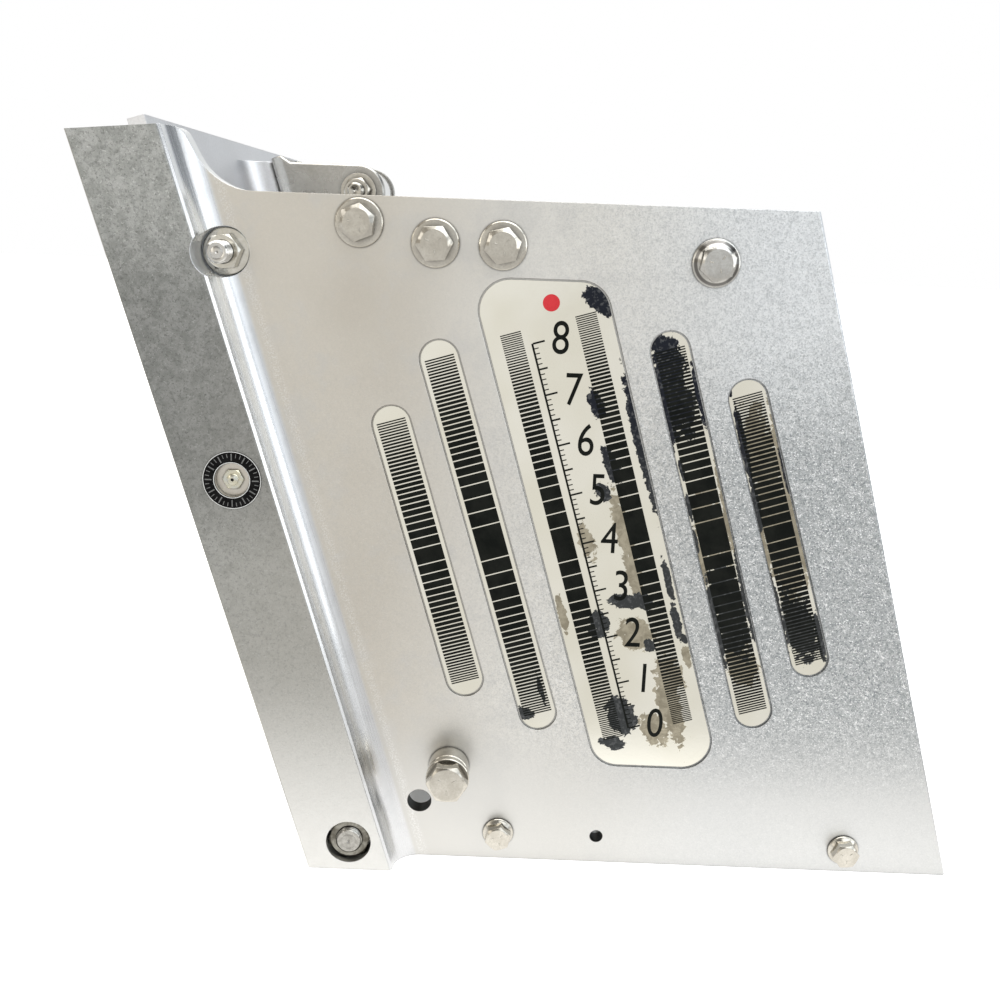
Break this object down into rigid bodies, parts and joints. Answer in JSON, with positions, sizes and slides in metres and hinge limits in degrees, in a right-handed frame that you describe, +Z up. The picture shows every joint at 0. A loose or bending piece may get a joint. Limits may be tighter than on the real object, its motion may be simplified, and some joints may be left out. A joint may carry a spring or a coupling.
{
  "type": "hydraulic jack plate",
  "caption": "Hydraulic jack plate for an outboard motor: slanted aluminium side plates with transom flanges carry a sliding motor plate that a central hydraulic cylinder lifts.",
  "frame": {"origin": "middle of the footprint, on the bottom edges of the side plates", "axes": "+X forward to the boat's transom, +Y to port, +Z up; the plates and the motor plate's travel lean aft 16.5 degrees from +Z"},
  "size_m": [0.4605, 0.424, 0.3839],
  "materials": {
    "satin_aluminium": "satin tumbled aluminium extrusion, fine speckle",
    "plate_aluminium": "smooth milled aluminium",
    "sheet_aluminium": "bent aluminium sheet, rolled finish",
    "stainless_plate": "bent stainless plate, tumbled",
    "stainless_fasteners": "cold-headed stainless fasteners, bright",
    "stainless_bar": "drawn stainless bar with turned ends",
    "white_slide_plastic": "white slide plastic",
    "black_plastic": "black plastic",
    "cylinder_body": "black enamel on steel tube",
    "cylinder_gland_alloy": "turned aluminium",
    "chromed_rod": "ground and chromed rod",
    "bronze": "sintered bronze",
    "seal_rubber": "black seal rubber",
    "zinc_fitting": "zinc-plated grease fitting",
    "black_label": "black vinyl label with plain grey ticks",
    "chrome_vinyl": "mirror vinyl with black graduations"
  },
  "bodies": {
    "frame": {"bottom_brace_bolts": "stainless_fasteners", "bottom_brace_nuts": "stainless_fasteners", "bottom_brace_pan": "sheet_aluminium", "cross_shaft_bolts": "stainless_fasteners", "cross_shaft_collars": "black_plastic", "cross_shaft_washers": "stainless_fasteners", "cylinder_cross_shaft": "stainless_bar", "grease_fittings": "zinc_fitting", "grease_ring_labels": "black_label", "lower_rail_spacer_tube": "plate_aluminium", "lower_rail_tie_nuts": "stainless_fasteners", "lower_rail_tie_rod": "stainless_bar", "scale_decals_port": "chrome_vinyl", "scale_decals_starboard": "chrome_vinyl", "side_plate_port": "satin_aluminium", "side_plate_starboard": "satin_aluminium", "slide_liner_port": "white_slide_plastic", "slide_liner_starboard": "white_slide_plastic", "top_brace_bolts": "stainless_fasteners", "top_brace_nuts": "stainless_fasteners", "top_cross_brace": "sheet_aluminium", "transom_bar_bolts": "stainless_fasteners", "transom_cross_bar": "plate_aluminium", "upper_rail_spacer_tube": "plate_aluminium", "upper_rail_tie_nuts": "stainless_fasteners", "upper_rail_tie_rod": "stainless_bar"},
    "motor_carriage": {"motor_plate": "plate_aluminium", "lift_bracket": "stainless_plate", "lift_bracket_bolts": "stainless_fasteners", "bracket_pin_bolt": "stainless_fasteners", "bracket_pin_nut": "stainless_fasteners", "bracket_pin_washers": "stainless_fasteners", "bracket_pin_sleeve": "stainless_fasteners"},
    "lift_cylinder": {"cylinder_barrel": "cylinder_body", "cylinder_gland": "cylinder_gland_alloy", "cylinder_eye_bushes": "bronze", "rod_seal": "seal_rubber", "rod_wiper": "seal_rubber", "hose_port_fittings": "stainless_fasteners"},
    "lift_ram": {"cylinder_rod": "chromed_rod", "rod_eye_bush": "bronze", "cylinder_piston": "cylinder_gland_alloy", "piston_seal": "seal_rubber", "piston_nut": "stainless_fasteners"}
  },
  "joints": [
    {"name": "motor_plate_lift", "type": "slide", "parent": "frame", "child": "motor_carriage", "axis": [-0.284, 0, 0.9588], "range_m": [0, 0.14]},
    {"name": "cylinder_swing", "type": "hinge", "parent": "frame", "child": "lift_cylinder", "pos_m": [-0.045, 0, 0.0546], "axis": [0, 1, 0], "range_deg": [-1.1, 0.05]},
    {"name": "ram_extend", "type": "slide", "parent": "lift_cylinder", "child": "lift_ram", "axis": [-0.2316, 0, 0.9728], "range_m": [0, 0.1401]}
  ],
  "couplings": [
    {"joint": "cylinder_swing", "follows": "motor_plate_lift", "rad_per_m": -0.127},
    {"joint": "ram_extend", "follows": "motor_plate_lift", "ratio": 0.9988}
  ]
}
